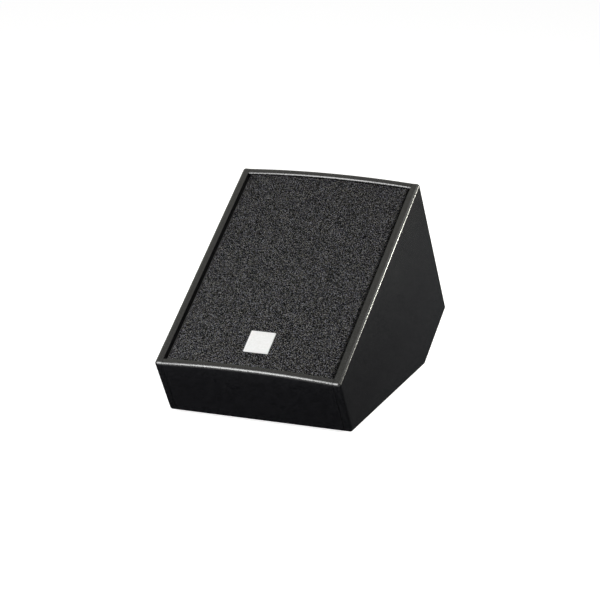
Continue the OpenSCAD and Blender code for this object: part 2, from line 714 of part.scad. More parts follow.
module hf_surround() {
  color([0.75, 0.55, 0.2]) at_driver() rotate_extrude() polygon([
    [hf_r + 6, hf_rear], [hf_r + 12, hf_rear], [hf_r + 12, hf_rear - 1], [hf_hub + 0.6, hf_rear - 1],
    [hf_hub + 0.6, hf_rear - 0.6], [hf_r + 6, hf_rear - 0.6]]);
}
module hf_diaphragm() {
  lip = hf_rear - 1.1;
  ball = hf_r * 1.35;
  a0 = -acos((hf_r - 0.3) / ball);
  c = [0, lip - 0.4 - ball * sin(a0)];
  profile = concat(
    [[hf_r, hf_rear + 6], [hf_r + 0.3, hf_rear + 6], [hf_r + 0.3, hf_rear + 5], [hf_r + 0.6, hf_rear + 5],
     [hf_r + 0.6, hf_rear + 1], [hf_r + 0.3, hf_rear + 1], [hf_r + 0.3, lip], [hf_r + 3, lip],
     [hf_r + 3, lip - 0.4], [hf_r + 0.2, lip - 0.4]],
    arc(c, ball + 0.3, a0, -90, 8), arc(c, ball, -90, a0, 8), [[hf_r, lip]]);
  color(STEEL) at_driver() rotate_extrude() polygon(profile);
}
cover_r = hf_r + 13;
cover_h = 24;
cover_wall = 2.5;
cover_taper = 4;
cover_tag = [6, 12, 0.8];
module hf_cover() {
  color(PLASTIC) at_driver() translate([0, 0, hf_rear - cover_h]) difference() {
    union() {
      cylinder(r1 = cover_r - cover_taper + cover_wall, r2 = cover_r + cover_wall, h = cover_h);
      for (s = [-1, 1]) translate([s * 8 - cover_tag[0] / 2, cover_r - cover_taper, 6]) cube(cover_tag);
    }
    translate([0, 0, cover_wall])
      cylinder(r1 = cover_r - cover_taper, r2 = cover_r, h = cover_h - cover_wall + EPS);
  }
}

// Reflex ports
module port_tube() {
  ro = port_d / 2 + port_wall;
  low = -baffle_t - port_len;
  color(PLASTIC) cab() translate([port_x, port_y, baffle_z]) rotate_extrude() polygon([
    [port_d / 2, low], [ro, low], [ro, 0], [port_flange_d / 2, 0], [port_flange_d / 2, 2],
    [port_flange_d / 2 - 2, 3], [port_d / 2 + 1, 3], [port_d / 2, 0]]);
}
module port_tube_right() { port_tube(); }
module port_tube_left() { mirror([1, 0, 0]) port_tube(); }

// Crossover, on the inside of the lower rear panel: z = 0 on that face
board_w = 150;
board_h = 84;
board_t = 1.6;
spacer_h = 8;
board_z = spacer_h + board_t;
board_y = (I_HEEL[0] + I_BACK[0]) / 2;
module at_crossover() { cab() translate([0, board_y, -rear_depth + panel_t]) children(); }
module at_board_screws() {
  for (sx = [-1, 1], sy = [-1, 1]) translate([sx * (board_w / 2 - 6), sy * (board_h / 2 - 6), 0]) children();
}
block_x = 44;
block_face = board_z + 10;
module crossover_board() {
  color([0.10, 0.30, 0.16]) at_crossover() difference() {
    union() {
      translate([-board_w / 2, -board_h / 2, spacer_h]) cube([board_w, board_h, board_t]);
      for (x = [-block_x, 0, block_x]) translate([x - 9, board_h / 2 - 12, spacer_h])
        cube([18, 9, block_face - spacer_h]);
    }
    at_board_screws() translate([0, 0, spacer_h - 1]) cylinder(d = 4.2, h = board_t + 2);
  }
}
module crossover_spacers() {
  color(PLASTIC) at_crossover() at_board_screws() tube(4, 2.1, spacer_h);
}
module crossover_screws() {
  color(STEEL) at_crossover() at_board_screws() translate([0, 0, board_z])
    pan_screw(3.5, board_z + 10, 7, 2.2, 1.5);
}
woofer_choke_d = 46;
woofer_choke_h = 26;
horn_choke_d = 30;
horn_choke_h = 18;
choke_bore_d = 18;
choke_edge = 6;
module crossover_inductors() {
  color(COPPER) at_crossover() {
    translate([choke_edge - board_w / 2, choke_edge - board_h / 2, board_z])
      translate([woofer_choke_d / 2, woofer_choke_d / 2, 0])
        tube(woofer_choke_d / 2, choke_bore_d / 2, woofer_choke_h);
    translate([board_w / 2 - choke_edge - horn_choke_d / 2, choke_edge, board_z])
      tube(horn_choke_d / 2, choke_bore_d / 2 - 2, horn_choke_h);
  }
}
module crossover_capacitors() {
  color([0.55, 0.16, 0.12]) at_crossover() for (i = [0 : 2])
    translate([-14, -30 + 16 * i, board_z + 7.2]) rotate([0, 90, 0]) cylinder(d = 14, h = 34);
}
module crossover_resistors() {
  color([0.85, 0.83, 0.78]) at_crossover() for (i = [0 : 1])
    translate([32 + 16 * i, -32, board_z]) cube([10, 20, 9]);
}

// Rear fittings, on the upper rear panel

hole_corner = 10;
handle_hole_w = handle_w - 2 * fitting_lip;
handle_hole_h = handle_h - 2 * fitting_lip;
cup_hole_w = cup_w - 2 * fitting_lip;
cup_hole_h = cup_h - 2 * fitting_lip;
handle_z = baffle_back - batten - 8 - handle_h / 2;
cup_z = handle_z - handle_h / 2 - 24 - cup_h / 2;
fit_gap = 0.5;
gasket_t = 1;
wood_screw_d = 3.5;
pilot_d = 3.7;
module at_handle_screws() {
  for (sx = [-1, 1], sy = [-1, 0, 1])
    translate([sx * (handle_w / 2 - 5), sy * (handle_h / 2 - 9), 0]) children();
}
module at_cup_screws() {
  for (sx = [-1, 1], sy = [-1, 1])
    translate([sx * (cup_w / 2 - 5), sy * (cup_h / 2 - 9), 0]) children();
}
// Flanged tray hanging from z = 0 into a panel's cut-out
module tray(w, h, hole_w, hole_h, depth) {
  difference() {
    union() {
      linear_extrude(fitting_t) polygon(rounded_rect(w, h, 8));
      translate([0, 0, -depth - fitting_wall]) linear_extrude(depth + fitting_wall + EPS)
        polygon(rounded_rect(hole_w - 2 * fit_gap, hole_h - 2 * fit_gap, hole_corner - fit_gap));
    }
    translate([0, 0, -depth]) linear_extrude(depth + fitting_t + 1)
      polygon(rounded_rect(hole_w - 2 * (fit_gap + fitting_wall), hole_h - 2 * (fit_gap + fitting_wall),
        hole_corner - fit_gap - fitting_wall));
  }
}
grip_y = -handle_hole_h / 2 + fit_gap + fitting_wall + 10 + grip_d / 2;
grip_z = fitting_t - 1 - grip_d / 2;
module handle_shell() {
  grip_len = handle_hole_w - 2 * fit_gap - fitting_wall;
  color(PLASTIC) on_rear(handle_z) difference() {
    union() {
      tray(handle_w, handle_h, handle_hole_w, handle_hole_h, handle_depth);
      translate([-grip_len / 2, grip_y, grip_z]) rotate([0, 90, 0]) cylinder(d = grip_d, h = grip_len);
    }
    at_handle_screws() translate([0, 0, -1]) cylinder(d = 4.2, h = fitting_t + 2);
  }
}
module handle_screws() {
  color(BLACK_STEEL) on_rear(handle_z) translate([0, 0, fitting_t])
    at_handle_screws() pan_screw(wood_screw_d, 15, 7.5, 2.4, 1.5);
}
socket_floor = -cup_depth + gasket_t;
socket_w = 27;
socket_h = 32;
socket_hole_d = 24.4;
module at_socket(s) { on_rear(cup_z) translate([s * socket_pitch / 2, 0, socket_floor]) children(); }
socket_t = 2;
socket_slot_r = 10.6;
socket_core_r = 5;
socket_slot = 17;
socket_screw_d = 2.9;
socket_screw_len = 8;
socket_head_d = 5;
socket_head_h = 1.6;
socket_screw_in = 4;
module at_socket_screws() {
  for (s = [-1, 1])
    translate([s * (socket_w / 2 - socket_screw_in), s * (socket_h / 2 - socket_screw_in), 0]) children();
}
module connection_cup() {
  color(PLASTIC) on_rear(cup_z) difference() {
    translate([0, 0, gasket_t]) tray(cup_w, cup_h, cup_hole_w, cup_hole_h, cup_depth);
    at_cup_screws() translate([0, 0, -1]) cylinder(d = 4.2, h = fitting_t + 3);
    for (s = [-1, 1]) translate([s * socket_pitch / 2, 0, socket_floor - 10]) {
      cylinder(d = socket_hole_d, h = 20);
      at_socket_screws() cylinder(d = socket_screw_d + 0.2, h = 20);
    }
  }
}
module cup_gasket() {
  color(RUBBER) on_rear(cup_z) difference() {
    linear_extrude(gasket_t) polygon(rounded_rect(cup_w - 1, cup_h - 1, 8));
    translate([0, 0, -1]) linear_extrude(gasket_t + 2)
      polygon(rounded_rect(cup_hole_w, cup_hole_h, hole_corner));
    at_cup_screws() translate([0, 0, -1]) cylinder(d = 4.4, h = gasket_t + 2);
  }
}
module cup_screws() {
  color(BLACK_STEEL) on_rear(cup_z) translate([0, 0, gasket_t + fitting_t])
    at_cup_screws() pan_screw(wood_screw_d, 16, 7.5, 2.4, 1.5);
}
socket_back = 24;
socket_rim = 5;
socket_key_w = 2.4;
socket_key_depth = 1.4;
socket_tab_w = 4.8;
socket_tab_t = 0.8;
socket_tab_len = 9;
// Round locking socket: a square flange on a deep barrel, which is closed behind and carries four tabs
module socket() {
  difference() {
    union() {
      linear_extrude(socket_t) polygon(rounded_rect(socket_w, socket_h, 2));
      translate([0, 0, -socket_back]) cylinder(d = socket_hole_d - 0.4, h = socket_back + socket_rim);
      for (a = [45 : 90 : 315]) rotate([0, 0, a])
        translate([socket_core_r, -socket_tab_w / 2, -socket_back - socket_tab_len])
          cube([socket_tab_t, socket_tab_w, socket_tab_len + 1]);
    }
    translate([0, 0, -socket_slot]) cylinder(r = socket_slot_r, h = REACH);
    at_socket_screws() translate([0, 0, -1]) cylinder(d = socket_screw_d + 0.2, h = socket_t + 2);
  }
}
module input_socket() { color(PLASTIC) at_socket(-1) socket(); }
module link_socket() { color(PLASTIC) at_socket(1) socket(); }
// Keyed contact core in the middle of each socket, standing on the floor of its barrel
module socket_cores() {
  color(PLASTIC) for (s = [-1, 1]) at_socket(s) difference() {
    translate([0, 0, -socket_slot]) cylinder(r = socket_core_r, h = socket_slot + socket_t);
    translate([socket_core_r - socket_key_depth, -socket_key_w / 2, 2 - socket_slot])
      cube([socket_core_r, socket_key_w, REACH]);
  }
}
module socket_screws() {
  color(STEEL) for (s = [-1, 1]) at_socket(s) translate([0, 0, socket_t])
    at_socket_screws() pan_screw(socket_screw_d, socket_screw_len, socket_head_d, socket_head_h);
}

// Rubber feet, under the bottom panel

toe_y = shift_y + front_depth * sin(tilt);
heel_y = toe_y + norm(P_HEEL - P_TOE);
module at_feet() {
  for (sx = [-1, 1], y = [toe_y + foot_inset, heel_y - foot_inset])
    translate([sx * (cab_w / 2 - foot_inset), y, 0]) children();
}
foot_web = 4;
foot_taper = 5;
foot_bore_d = 12;
foot_screw_len = 15;
foot_head_d = 8;
foot_head_h = 2.2;
module rubber_feet() {
  color(RUBBER) at_feet() difference() {
    cylinder(d1 = foot_d - foot_taper, d2 = foot_d, h = foot_h);
    translate([0, 0, -1]) cylinder(d = foot_bore_d, h = foot_h - foot_web + 1);
    cylinder(d = 4.4, h = foot_h + 1);
  }
}
module foot_screws() {
  color(STEEL) at_feet() translate([0, 0, foot_h - foot_web]) rotate([180, 0, 0])
    pan_screw(wood_screw_d, foot_screw_len, foot_head_d, foot_head_h, 1.5);
}

// Leads inside the cabinet, and the wadding on the bottom panel

function blend(p, q, r, s, t) = 0.5 * (2 * q + (r - p) * t
  + (2 * p - 5 * q + 4 * r - s) * t * t + (3 * q - p - 3 * r + s) * t * t * t);
function spline(p, k) = [for (i = [0 : len(p) - 2], j = [0 : k - 1])
    blend(p[max(i - 1, 0)], p[i], p[i + 1], p[min(i + 2, len(p) - 1)], j / k)];
module lead(points, d) {
  path = concat(spline(points, 6), [points[len(points) - 1]]);
  m = len(path);
  function heading(i) = unit(path[min(i + 1, m - 1)] - path[max(i - 1, 0)]);
  loft([for (i = [0 : m - 1]) let (
      h = heading(i), side = unit(cross(h, [0.31, 0.83, 0.46])), over = cross(side, h))
    [for (k = [0 : 7]) path[i] + d / 2 * (side * cos(45 * k) + over * sin(45 * k))]]);
}
lead_d = 5;
board_edge_y = board_y + board_h / 2 - 7.5;
board_face_z = -rear_depth + panel_t + block_face + 0.2;
socket_tab_y = cab_len + socket_floor - socket_back - socket_tab_len - 0.2;
module input_lead() {
  s = socket_pitch / 2;
  color([0.10, 0.10, 0.11]) cab() {
    lead([[-s, socket_tab_y, cup_z - 5], [-s, socket_tab_y - 10, cup_z - 8],
      [-s - 4, socket_tab_y - 12, cup_z - 30],
      [-block_x, board_edge_y, board_face_z + 20], [-block_x, board_edge_y, board_face_z]], lead_d);
    lead([[-s, socket_tab_y, cup_z + 5], [-s + 6, socket_tab_y - 12, cup_z + 6],
      [0, socket_tab_y - 16, cup_z + 6],
      [s - 6, socket_tab_y - 12, cup_z + 6], [s, socket_tab_y, cup_z + 5]], lead_d);
  }
}
module woofer_lead() {
  x0 = wall_out(tag_z) + 16.2;
  z0 = baffle_z + tag_z - 7.6;
  color([0.45, 0.06, 0.05]) cab()
    lead([[x0 + 2, woofer_y, z0], [x0 + 12, woofer_y + 4, z0 - 4], [x0 + 14, woofer_y + 50, z0 - 40],
      [x0, brace_y - 20, brace_z - 14], [x0 - 16, brace_y + 20, brace_z - 20],
      [block_x + 12, board_edge_y - 20, board_face_z + 50],
      [block_x, board_edge_y, board_face_z + 24], [block_x, board_edge_y, board_face_z]], lead_d);
}
module horn_lead() {
  z0 = baffle_z - horn_depth - neck_t + hf_rear - cover_h + 6.4;
  y0 = horn_y + cover_r - cover_taper + cover_tag[1] + 0.2;
  color([0.10, 0.12, 0.40]) cab()
    lead([[0, y0 + 2, z0], [0, y0 + 9, z0 - 6], [0, y0 + 8, z0 - 30], [0, board_edge_y - 6, board_face_z + 50],
      [0, board_edge_y, board_face_z + 20], [0, board_edge_y, board_face_z]], lead_d);
}
module damping_wadding() {
  t = 20;
  d = unit(I_TOE - I_HEEL);
  up = -turn_left(d);
  a = I_TOE - d * 40;
  b = I_HEEL + d * 40;
  color([0.80, 0.78, 0.72]) cab() along_x(2 * half_in - 60)
    polygon([a + up * 0.5, b + up * 0.5, b + up * t, a + up * t]);
}

side_panel_left();
side_panel_right();
front_panel();
upper_rear_panel();
lower_rear_panel();
bottom_panel();
baffle_board();
baffle_battens();
cross_brace();
corner_blocks();
grille_rails();
grille();
grille_screws();
grille_foam();
badge_plate();
woofer_basket();
woofer_gasket();
woofer_surround();
woofer_spider();
woofer_top_plate();
woofer_magnet();
woofer_yoke();
woofer_terminals();
woofer_screws();
woofer_tee_nuts();
woofer_cone();
woofer_dust_cap();
voice_coil();
horn();
horn_screws();
hf_yoke();
hf_magnet();
hf_top_plate();
hf_cover();
hf_surround();
hf_diaphragm();
hf_bolts();
port_tube_left();
port_tube_right();
crossover_board();
crossover_spacers();
crossover_screws();
crossover_inductors();
crossover_capacitors();
crossover_resistors();
connection_cup();
cup_gasket();
cup_screws();
input_socket();
link_socket();
socket_cores();
socket_screws();
handle_shell();
handle_screws();
rubber_feet();
foot_screws();
input_lead();
woofer_lead();
horn_lead();
damping_wadding();
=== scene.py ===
import json
import math

import bmesh
import bpy
import numpy as np
from mathutils import Matrix, Vector

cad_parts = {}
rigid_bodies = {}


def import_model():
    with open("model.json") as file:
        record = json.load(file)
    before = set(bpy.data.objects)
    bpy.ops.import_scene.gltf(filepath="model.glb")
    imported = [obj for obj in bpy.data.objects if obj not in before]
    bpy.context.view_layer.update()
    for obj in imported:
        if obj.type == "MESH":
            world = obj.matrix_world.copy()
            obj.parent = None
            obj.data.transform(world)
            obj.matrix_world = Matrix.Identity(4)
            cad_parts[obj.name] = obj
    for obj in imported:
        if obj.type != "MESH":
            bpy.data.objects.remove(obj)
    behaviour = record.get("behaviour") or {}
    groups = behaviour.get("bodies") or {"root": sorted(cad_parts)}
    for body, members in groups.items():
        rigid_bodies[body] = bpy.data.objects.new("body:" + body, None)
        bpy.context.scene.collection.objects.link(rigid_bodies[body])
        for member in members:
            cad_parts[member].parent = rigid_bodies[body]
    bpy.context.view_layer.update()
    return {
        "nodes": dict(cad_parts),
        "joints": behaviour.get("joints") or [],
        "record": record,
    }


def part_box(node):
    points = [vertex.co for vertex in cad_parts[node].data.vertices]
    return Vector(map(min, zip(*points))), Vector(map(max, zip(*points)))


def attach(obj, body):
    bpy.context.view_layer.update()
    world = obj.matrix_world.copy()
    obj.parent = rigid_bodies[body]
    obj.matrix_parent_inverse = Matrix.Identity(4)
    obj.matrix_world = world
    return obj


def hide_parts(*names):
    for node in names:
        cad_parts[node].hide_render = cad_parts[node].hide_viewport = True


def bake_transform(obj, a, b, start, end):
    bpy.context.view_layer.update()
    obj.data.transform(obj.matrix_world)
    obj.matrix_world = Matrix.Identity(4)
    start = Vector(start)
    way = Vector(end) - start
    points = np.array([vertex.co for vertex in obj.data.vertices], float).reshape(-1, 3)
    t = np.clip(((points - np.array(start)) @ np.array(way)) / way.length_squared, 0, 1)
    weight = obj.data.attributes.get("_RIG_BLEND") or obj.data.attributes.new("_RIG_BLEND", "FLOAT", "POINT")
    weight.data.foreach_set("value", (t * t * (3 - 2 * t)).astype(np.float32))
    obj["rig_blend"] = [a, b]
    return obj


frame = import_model()
scene = bpy.context.scene

# Sizes of the cabinet, in metres

MM = 0.001
CAB_W = 380 * MM
CAB_LEN = 540 * MM
FRONT_DEPTH = 136.5 * MM
REAR_DEPTH = 367 * MM
REAR_LEN = 162 * MM
PANEL = 16 * MM
EDGE_R = 6 * MM
BOW_RISE = 8 * MM
FOOT_H = 8 * MM

TILT = math.atan2(REAR_DEPTH - FRONT_DEPTH, CAB_LEN - REAR_LEN)
COS = math.cos(TILT)
SIN = math.sin(TILT)
HALF_IN = CAB_W / 2 - PANEL
Y_FRONT = EDGE_R * COS - (BOW_RISE - EDGE_R) * SIN - EDGE_R
Y_BACK = (CAB_LEN - EDGE_R) * COS + (REAR_DEPTH - EDGE_R) * SIN + EDGE_R
SHIFT_Y = -(Y_FRONT + Y_BACK) / 2
LIFT_Z = FOOT_H + FRONT_DEPTH * COS
TOE_Y = SHIFT_Y + FRONT_DEPTH * SIN

BOW_R = (HALF_IN ** 2 + BOW_RISE ** 2) / (2 * BOW_RISE)


def cab(x, u, n):
    """A point of the cabinet's own frame (across, up the slope, outwards) in the frame of the solids."""
    return Vector((x, SHIFT_Y + u * COS - n * SIN, LIFT_Z + u * SIN + n * COS))


def bow(r, x):
    """Height of a bowed surface of radius r over the side panels' edges."""
    return BOW_RISE - BOW_R + math.sqrt(r * r - x * x)


# Materials: grain sizes are in millimetres, on Object coordinates. A real grain finer than 0.7 mm is
# drawn at 0.7 mm or more, so that it shows.

def srgb(code):
    """Linear RGBA of an sRGB hex colour."""
    channels = [int(code[i:i + 2], 16) / 255 for i in (1, 3, 5)]
    return [c / 12.92 if c <= 0.04045 else ((c + 0.055) / 1.055) ** 2.4 for c in channels] + [1.0]


def add(tree, kind, links=None, stops=(), **values):
    """Adds a shader node with its settings, input values and links, and the stops of a colour ramp."""
    node = tree.nodes.new("ShaderNode" + kind)
    for key, value in values.items():
        if hasattr(node, key):
            setattr(node, key, value)
        else:
            node.inputs[key.replace("_", " ")].default_value = value
    for key, socket in (links or {}).items():
        tree.links.new(socket, node.inputs[key])
    for k, (at, colour) in enumerate(stops):
        elements = node.color_ramp.elements
        stop = elements[k] if k < len(elements) else elements.new(at)
        stop.position = at
        stop.color = srgb(colour)
    return node


def new_material(name):
    """A material with its tree, its shader and its Object coordinates."""
    material = bpy.data.materials.new(name)
    material.use_nodes = True
    tree = material.node_tree
    shader = next(n for n in tree.nodes if n.type == "BSDF_PRINCIPLED")
    return material, tree, shader, add(tree, "TexCoord").outputs["Object"]


def finish(name, dark, light, rough, grain_mm, bump, depth_mm=0.2, metallic=0.0, stretch=(1, 1, 1),
           sheen=0.0):
    """A surface whose colour, gloss and relief all vary with one noise of the real grain's size."""
    material, tree, shader, place = new_material(name)
    place = add(tree, "Mapping", {"Vector": place}, Scale=[1 / s for s in stretch]).outputs["Vector"]
    grain = add(tree, "TexNoise", {"Vector": place}, Scale=1 / (grain_mm * MM), Detail=3.0).outputs["Fac"]
    colour = add(tree, "ValToRGB", {"Fac": grain}, stops=[(0.3, dark), (0.7, light)])
    gloss = add(tree, "MapRange", {"Value": grain}, To_Min=rough[0], To_Max=rough[1])
    relief = add(tree, "Bump", {"Height": grain}, Strength=bump, Distance=depth_mm * MM)
    tree.links.new(colour.outputs["Color"], shader.inputs["Base Color"])
    tree.links.new(gloss.outputs["Result"], shader.inputs["Roughness"])
    tree.links.new(relief.outputs["Normal"], shader.inputs["Normal"])
    shader.inputs["Metallic"].default_value = metallic
    shader.inputs["Sheen Weight"].default_value = sheen
    return material


def rolled_black_enamel():
    """Satin black enamel, rolled on: a fine orange peel that breaks up highlights, and faint broad
    changes of gloss. The peel is drawn coarser than a roller leaves it, so that it shows."""
    peel_size = 3 * MM
    broad_size = 90 * MM
    material, tree, shader, place = new_material("rolled_black_enamel")
    peel = add(tree, "TexNoise", {"Vector": place}, Scale=1 / peel_size, Detail=2.0).outputs["Fac"]
    broad = add(tree, "TexNoise", {"Vector": place}, Scale=1 / broad_size, Detail=2.0).outputs["Fac"]
    colour = add(tree, "ValToRGB", {"Fac": peel}, stops=[(0.40, "#000001"), (0.60, "#202022")])
    gloss = add(tree, "MapRange", {"Value": broad}, To_Min=0.23, To_Max=0.29)
    relief = add(tree, "Bump", {"Height": peel}, Strength=0.8, Distance=0.3 * MM)
    tree.links.new(colour.outputs["Color"], shader.inputs["Base Color"])
    tree.links.new(gloss.outputs["Result"], shader.inputs["Roughness"])
    tree.links.new(relief.outputs["Normal"], shader.inputs["Normal"])
    shader.inputs["Specular IOR Level"].default_value = 0.41
    return material


def charcoal_open_cell_foam():
    """Charcoal open-cell foam: paler strands with small dark pores between, the pores' darkness being
    painted shade in the holes; a little warm and cold by turns, and no gloss at all. The cells are
    drawn coarser than the real ones, so that they show."""
    cell_size = 1.7 * MM
    tint_size = 2.6 * MM
    cold_stops = [(0.232, "#050507"), (0.302, "#18181d"), (0.38, "#82838c")]
    warm_stops = [(0.232, "#070705"), (0.302, "#1c1c18"), (0.38, "#87857d")]
    material, tree, shader, place = new_material("charcoal_open_cell_foam")
    cells = add(tree, "TexVoronoi", {"Vector": place}, feature="DISTANCE_TO_EDGE", Scale=1 / cell_size)
    # Painted shade: the colour grows darker towards each cell's middle, standing in for shade in the pores
    strands_and_pore_shade = add(tree, "MapRange", {"Value": cells.outputs["Distance"]}, To_Min=0.6, To_Max=0.4)
    grain = add(tree, "TexNoise", {"Vector": place}, Scale=1 / cell_size, Detail=1.0)
    factors = {0: grain.outputs["Fac"], 1: strands_and_pore_shade.outputs["Result"]}
    level = add(tree, "Math", factors, operation="MULTIPLY").outputs[0]
    cold = add(tree, "ValToRGB", {"Fac": level}, stops=cold_stops).outputs["Color"]
    warm = add(tree, "ValToRGB", {"Fac": level}, stops=warm_stops).outputs["Color"]
    tint = add(tree, "TexNoise", {"Vector": place}, Scale=1 / tint_size, Detail=1.0).outputs["Fac"]
    tint = add(tree, "MapRange", {"Value": tint}, From_Min=0.4, From_Max=0.6).outputs["Result"]
    mixed = add(tree, "Mix", {0: tint, 6: cold, 7: warm}, data_type="RGBA")
    relief = add(tree, "Bump", {"Height": level}, Strength=0.6, Distance=1.2 * MM)
    tree.links.new(mixed.outputs[2], shader.inputs["Base Color"])
    tree.links.new(relief.outputs["Normal"], shader.inputs["Normal"])
    shader.inputs["Roughness"].default_value = 0.95
    shader.inputs["Specular IOR Level"].default_value = 0.0
    return material


MATERIALS = {
    "painted_wood": rolled_black_enamel(),
    "foam": charcoal_open_cell_foam(),
    # Planed softwood: pale brown, with a soft grain drawn out along the cabinet's width
    "bare_wood": finish("planed_softwood", "#8d6a45", "#b08a60", (0.55, 0.75), 4, 0.2,
                        stretch=(14, 1, 1)),
    # Black powder coat: even and matt, with a fine pebble that spreads every highlight
    "black_steel": finish("black_powder_coat", "#161617", "#1d1d1e", (0.42, 0.6), 0.9, 0.25),
    # Bright zinc plate: a pale metal with soft, slightly cloudy reflections
    "zinc_steel": finish("zinc_plate", "#9a9c9f", "#b7b8ba", (0.25, 0.42), 2, 0.05, metallic=1.0),
    # Satin white lacquer on a thin plate: clean white with a faint cloud
    "white_plate": finish("satin_white_lacquer", "#eeeeec", "#f7f7f6", (0.3, 0.4), 4, 0.03),
    # Moulded plastic with a spark-eroded grain: dull black, a little paler than paint
    "black_plastic": finish("moulded_black_plastic", "#1b1b1c", "#232324", (0.45, 0.62), 0.8, 0.3),
    # Moulded rubber: matt black, with no clear highlight
    "black_rubber": finish("matt_black_rubber", "#151515", "#1f1f1f", (0.7, 0.88), 1.2, 0.2),
    # Sintered ferrite: dark grey and faintly grainy, like fired clay
    "ferrite": finish("sintered_ferrite", "#2b2b2e", "#38383b", (0.5, 0.65), 0.8, 0.2),
    # Coated paper pulp: dull near-black with short fibres in low relief
    "cone_paper": finish("coated_paper_pulp", "#1d1d1f", "#2b2b2d", (0.6, 0.8), 1.4, 0.5),
    # Pressed card: matt brown-black with a fine fleck
    "gasket_card": finish("pressed_card", "#26231f", "#35312b", (0.75, 0.9), 1, 0.3),
    # Resin-treated cotton: amber cloth with a close, dry texture
    "spider_cloth": finish("treated_cotton", "#8a6a2a", "#a98540", (0.7, 0.85), 0.7, 0.5),
    # Enamelled copper wire: warm red-brown with a varnished shine
    "copper": finish("enamelled_copper", "#8a4a22", "#c07a40", (0.25, 0.4), 0.8, 0.3, metallic=0.8),
    # Rolled foil: bright grey metal, nearly smooth
    "diaphragm_metal": finish("rolled_foil", "#9c9c9c", "#b6b6b6", (0.25, 0.35), 2, 0.05, metallic=1.0),
    # Solder resist on a circuit board: glossy dark green
    "board": finish("circuit_board", "#153d20", "#1d5230", (0.3, 0.45), 3, 0.05),
    # Shrunk plastic sleeve: glossy dark red
    "capacitor_sleeve": finish("capacitor_sleeve", "#6a1d16", "#802a20", (0.25, 0.4), 3, 0.05),
    # Cast cement body: chalky off-white
    "resistor_ceramic": finish("cement_body", "#c9c6bc", "#dedbd2", (0.7, 0.85), 0.8, 0.3),
    # Polyester wadding: loose pale fibres with a soft sheen
    "wadding": finish("polyester_wadding", "#c5c2b8", "#e2e0d8", (0.85, 0.97), 3, 0.8, depth_mm=2,
                      sheen=0.3),
    # Extruded insulation: smooth, with a plain half gloss
    "lead_black": finish("black_insulation", "#141414", "#1e1e1e", (0.4, 0.55), 3, 0.05),
    "lead_red": finish("red_insulation", "#6e1512", "#7f1d18", (0.4, 0.55), 3, 0.05),
    "lead_blue": finish("blue_insulation", "#16235e", "#1e2c70", (0.4, 0.55), 3, 0.05),
}

# The solids

SHARP_ANGLE = math.radians(32)
WELD_DISTANCE = 0.01 * MM


def dress(solid, slot):
    """Gives a solid its slot's finish, and modifiers that shade it smooth between its sharp edges."""
    mesh = solid.data
    mesh.materials.clear()
    mesh.materials.append(MATERIALS[slot])
    for name in ("custom_normal", "sharp_face"):
        if name in mesh.attributes:
            mesh.attributes.remove(mesh.attributes[name])
    mesh.polygons.foreach_set("use_smooth", [True] * len(mesh.polygons))
    weld = solid.modifiers.new("weld", "WELD")
    weld.merge_threshold = WELD_DISTANCE
    split = solid.modifiers.new("edges", "EDGE_SPLIT")
    split.split_angle = SHARP_ANGLE


SLOTS = {part["node"]: part["material_slot"] for part in frame["record"]["subparts"]}
for node, slot in SLOTS.items():
    dress(frame["nodes"][node], slot)


# Soft rings

def soft_ring(name, node, joint_name, inner_lip, outer_lip, cuts=0):
    """A ring in place of a solid that it copies: its outer lip stays with the joint's parent body, its
    inner lip moves with the child, and the stretch between them gives way."""
    joint = next(j for j in frame["joints"] if j["name"] == joint_name)
    bm = bmesh.new()
    bm.from_mesh(frame["nodes"][node].data)
    bmesh.ops.remove_doubles(bm, verts=bm.verts, dist=WELD_DISTANCE)
    if cuts:
        bmesh.ops.subdivide_edges(bm, edges=bm.edges, cuts=cuts)
    mesh = bpy.data.meshes.new(name)
    bm.to_mesh(mesh)
    bm.free()
    ring = bpy.data.objects.new(name, mesh)
    scene.collection.objects.link(ring)
    dress(ring, SLOTS[node])

    points = np.array([v.co for v in mesh.vertices])
    centre = points.mean(axis=0)
    axis = np.array(joint["axis"])
    offsets = points - centre
    radii = np.linalg.norm(offsets - np.outer(offsets @ axis, axis), axis=1)
    inner = radii.min() + inner_lip
    outer = radii.max() - outer_lip
    across = np.array((1, 0, 0))
    start = centre + across * outer
    end = centre + across * inner
    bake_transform(ring, joint["parent"], joint["child"], start=start, end=end)
    # The blend runs along one radius. A ring stretches alike along them all, so its weights follow
    # the radius.
    share = np.clip((outer - radii) / (outer - inner), 0, 1)
    weights = share * share * (3 - 2 * share)
    mesh.attributes["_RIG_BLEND"].data.foreach_set("value", weights.astype(np.float32))
    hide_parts(node)


soft_ring("cone_surround", "woofer_surround", "cone_travel", inner_lip=6 * MM, outer_lip=8.5 * MM)
soft_ring("cone_spider", "woofer_spider", "cone_travel", inner_lip=5 * MM, outer_lip=10.9 * MM)
soft_ring("diaphragm_surround", "hf_surround", "diaphragm_travel", inner_lip=1.5 * MM, outer_lip=6 * MM,
          cuts=3)


# Padded pieces

def pad(name, columns, rows, top, bottom, slot, node):
    """A closed pad in place of a solid: a grid extruded to two layers, whose points are then placed by
    their column and row."""
    bm = bmesh.new()
    bmesh.ops.create_grid(bm, x_segments=columns - 1, y_segments=rows - 1, size=1)
    upper = set(bm.verts)
    bmesh.ops.extrude_face_region(bm, geom=bm.faces[:])
    for vertex in bm.verts:
        i = round((vertex.co.x + 1) / 2 * (columns - 1))
        j = round((vertex.co.y + 1) / 2 * (rows - 1))
        vertex.co = top(i, j) if vertex in upper else bottom(i, j)
    bmesh.ops.recalc_face_normals(bm, faces=bm.faces)
    for face in bm.faces:
        face.smooth = True
    mesh = bpy.data.meshes.new(name)
    bm.to_mesh(mesh)
    bm.free()
    mesh.materials.append(MATERIALS[slot])
    piece = bpy.data.objects.new(name, mesh)
    scene.collection.objects.link(piece)
    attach(piece, "cabinet")
    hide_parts(node)
    return piece


